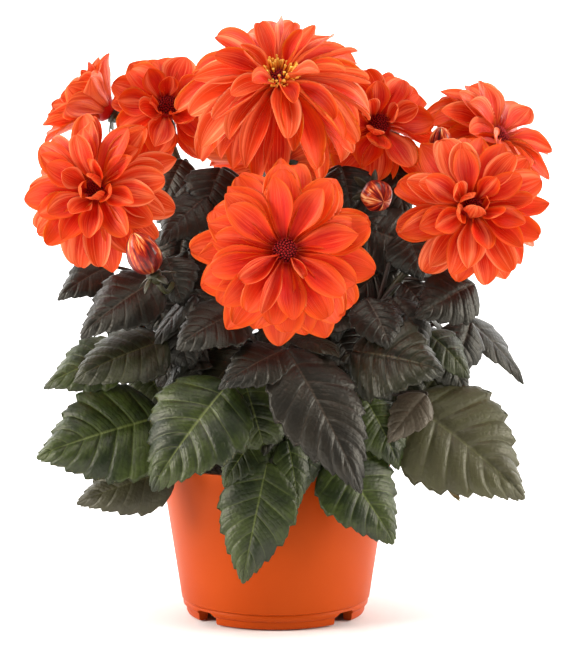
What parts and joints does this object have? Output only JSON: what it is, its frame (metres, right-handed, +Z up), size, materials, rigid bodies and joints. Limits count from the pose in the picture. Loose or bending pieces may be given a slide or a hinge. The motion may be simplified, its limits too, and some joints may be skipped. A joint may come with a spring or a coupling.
{
  "type": "potted dahlia",
  "caption": "Leafy dahlia plant in a round tapered nursery pot, with red-orange layered blooms, round buds and toothed dark leaves.",
  "frame": {"origin": "middle of the pot's base, on the face it stands on", "axes": "+Z up along the pot's axis, -Y towards the front of the plant, +X to the right seen from the front"},
  "size_m": [0.3087, 0.231, 0.3567],
  "materials": {
    "pot_plastic": "satin orange moulded plastic",
    "soil": "dark brown granular potting soil",
    "leaf_green": "satin dark green, bronze on the upper leaves",
    "petal_orange": "velvety red-orange with a soft sheen",
    "disc_maroon": "dark maroon, granular",
    "floret_yellow": "yellow-orange, matte",
    "bud_striped": "glossy, striped orange and maroon"
  },
  "bodies": {
    "root": {"pot": "pot_plastic", "soil": "soil", "stem_top": "leaf_green", "petals_top": "petal_orange", "disc_top": "disc_maroon", "stem_front": "leaf_green", "petals_front": "petal_orange", "disc_front": "disc_maroon", "stem_left": "leaf_green", "petals_left": "petal_orange", "disc_left": "disc_maroon", "stem_right": "leaf_green", "petals_right": "petal_orange", "disc_right": "disc_maroon", "stem_upper_left": "leaf_green", "petals_upper_left": "petal_orange", "disc_upper_left": "disc_maroon", "stem_rear_left": "leaf_green", "petals_rear_left": "petal_orange", "disc_rear_left": "disc_maroon", "stem_rear_right": "leaf_green", "petals_rear_right": "petal_orange", "disc_rear_right": "disc_maroon", "stem_far_right": "leaf_green", "petals_far_right": "petal_orange", "disc_far_right": "disc_maroon", "stem_back": "leaf_green", "petals_back": "petal_orange", "disc_back": "disc_maroon", "florets_top": "floret_yellow", "bud_left": "bud_striped", "bud_middle": "bud_striped", "bud_right": "bud_striped"}
  },
  "joints": []
}
